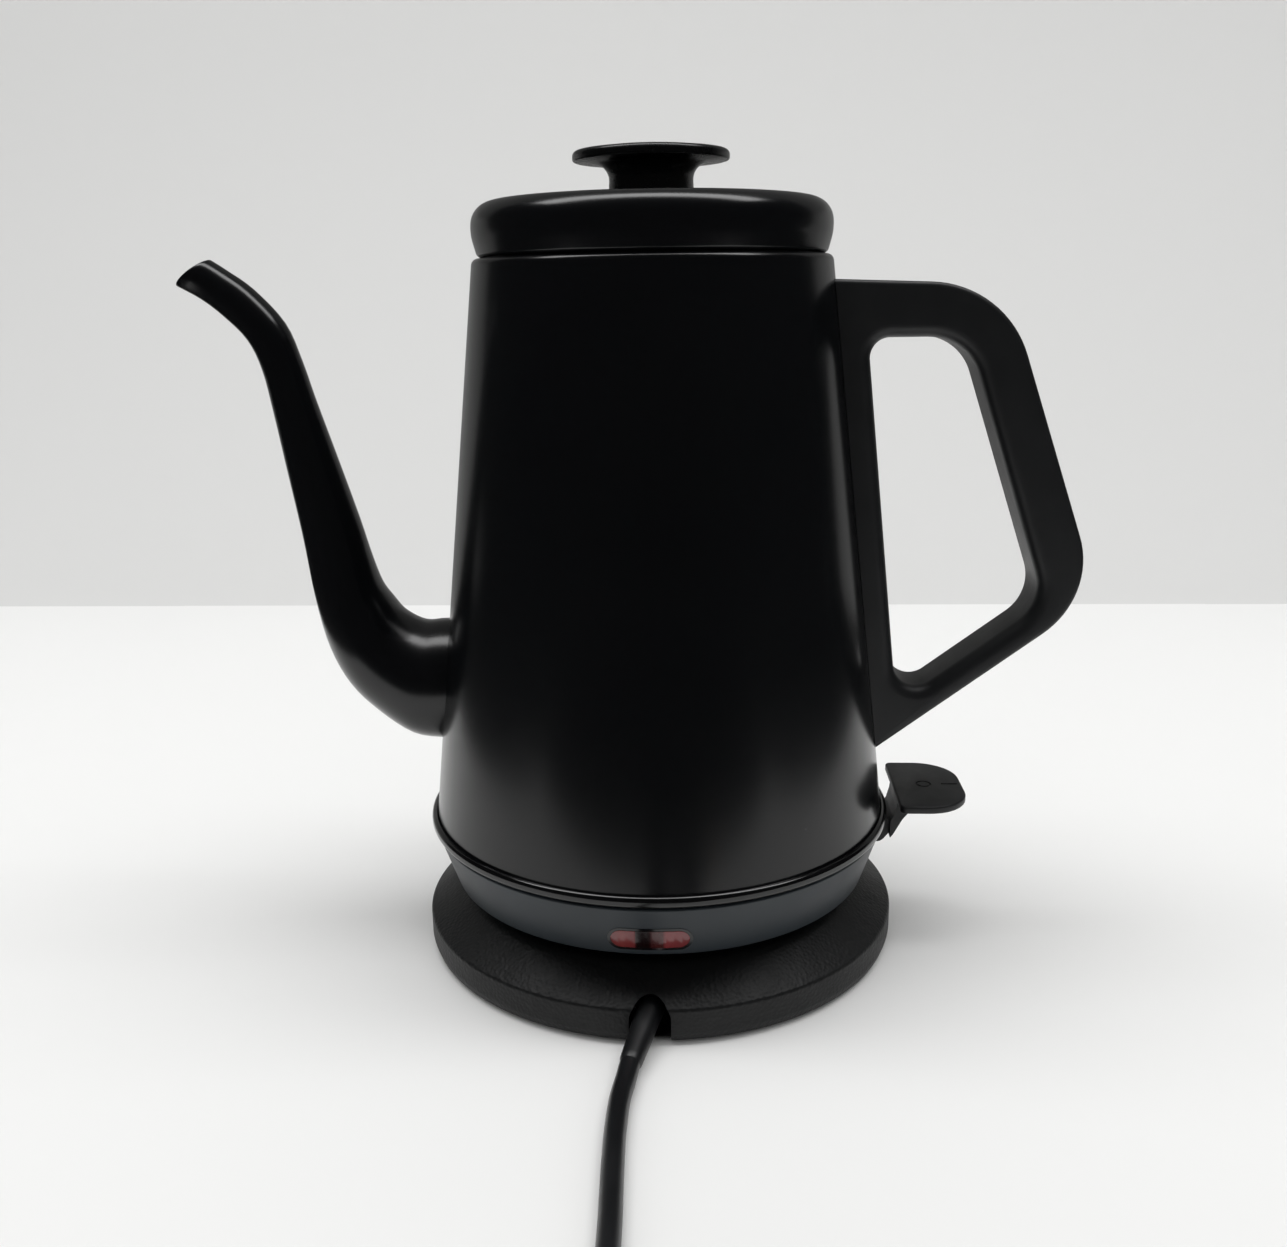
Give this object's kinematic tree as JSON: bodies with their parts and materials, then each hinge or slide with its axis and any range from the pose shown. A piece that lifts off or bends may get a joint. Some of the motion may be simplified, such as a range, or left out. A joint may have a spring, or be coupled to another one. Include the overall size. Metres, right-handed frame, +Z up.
{
  "type": "electric kettle",
  "caption": "Cordless gooseneck electric kettle with a slender spout, loop handle and lift-off lid, standing on a round power base.",
  "frame": {"origin": "on the table under the centre of the power base, on the plane of its feet", "axes": "+Z up, spout towards -X, handle towards +X, mains lead leaving towards -Y"},
  "size_m": [0.2858, 0.3497, 0.2571],
  "materials": {
    "base_abs": "fine leather-grain moulded black ABS",
    "foot_rubber": "matt grey-black rubber",
    "screw_steel": "zinc-plated steel",
    "connector_nylon": "smooth black glass-filled nylon",
    "contact_brass": "plain brass",
    "lead_pvc": "satin black PVC sheath",
    "clamp_nylon": "satin dark nylon",
    "relief_pvc": "satin black moulded PVC",
    "black_paint": "satin-matt black baked paint on stainless steel",
    "stainless": "bright pressed stainless steel",
    "cast_aluminium": "as-cast aluminium",
    "element_sheath": "dull element sheath",
    "silicone": "translucent red-brown silicone",
    "silicone_grey": "grey silicone",
    "switch_nylon": "natural nylon",
    "bimetal": "rolled bimetal",
    "gloss_abs": "gloss black ABS",
    "collar_pp": "satin blue-black polypropylene",
    "lens_red": "clear red polycarbonate",
    "lamp_glass": "neon lamp glass",
    "handle_pp": "fine spark-textured charcoal polypropylene",
    "knob_phenolic": "satin black phenolic"
  },
  "bodies": {
    "power_base": {"base_cover": "base_abs", "base_bottom": "base_abs", "base_feet": "foot_rubber", "base_screws": "screw_steel", "base_connector": "connector_nylon", "base_contacts": "contact_brass", "base_leads": "lead_pvc", "cord_clamp": "clamp_nylon", "clamp_screws": "screw_steel", "strain_relief": "relief_pvc", "mains_cord": "lead_pvc", "cord_coil": "lead_pvc", "coil_tie": "clamp_nylon", "mains_plug": "relief_pvc", "plug_blades": "contact_brass"},
    "turn_ring": {"slip_ring": "clamp_nylon"},
    "kettle": {"body_shell": "black_paint", "spout": "black_paint", "spout_strainer": "stainless", "heater_plate": "stainless", "heat_spreader": "cast_aluminium", "heating_element": "element_sheath", "kettle_connector": "connector_nylon", "connector_pins": "contact_brass", "steam_tube": "stainless", "tube_seal": "silicone", "steam_switch": "switch_nylon", "steam_bimetal": "bimetal", "switch_contacts": "contact_brass", "lever_pin": "screw_steel", "kettle_collar": "collar_pp", "rim_bead": "gloss_abs", "bottom_cover": "collar_pp", "bottom_screws": "screw_steel", "lamp_bezel": "gloss_abs", "lamp_lens": "lens_red", "neon_lamp": "lamp_glass", "lamp_holder": "connector_nylon", "handle_shell": "handle_pp", "handle_cover": "handle_pp", "handle_brackets": "stainless", "handle_screws": "screw_steel"},
    "lever": {"switch_lever": "gloss_abs"},
    "plunger": {"switch_plunger": "switch_nylon"},
    "lid": {"lid_shell": "black_paint", "lid_plug": "stainless", "lid_gasket": "silicone_grey", "lid_knob": "knob_phenolic", "knob_screw": "screw_steel"}
  },
  "joints": [
    {"name": "kettle_turn", "type": "hinge", "parent": "power_base", "child": "turn_ring", "pos_m": [0, 0, 0.02], "axis": [0, 0, 1], "continuous": true},
    {"name": "kettle_lift", "type": "slide", "parent": "turn_ring", "child": "kettle", "axis": [0, 0, 1], "range_m": [0, 0.09]},
    {"name": "lid_lift", "type": "slide", "parent": "kettle", "child": "lid", "axis": [0, 0, 1], "range_m": [0, 0.07]},
    {"name": "lever_rock", "type": "hinge", "parent": "kettle", "child": "lever", "pos_m": [0.067, 0, 0.034], "axis": [0, 1, 0], "range_deg": [0, 12]},
    {"name": "plunger_travel", "type": "slide", "parent": "kettle", "child": "plunger", "axis": [0, 0, 1], "range_m": [0, 0.0018]}
  ],
  "couplings": [
    {"joint": "plunger_travel", "follows": "lever_rock", "m_per_rad": 0.0076}
  ]
}
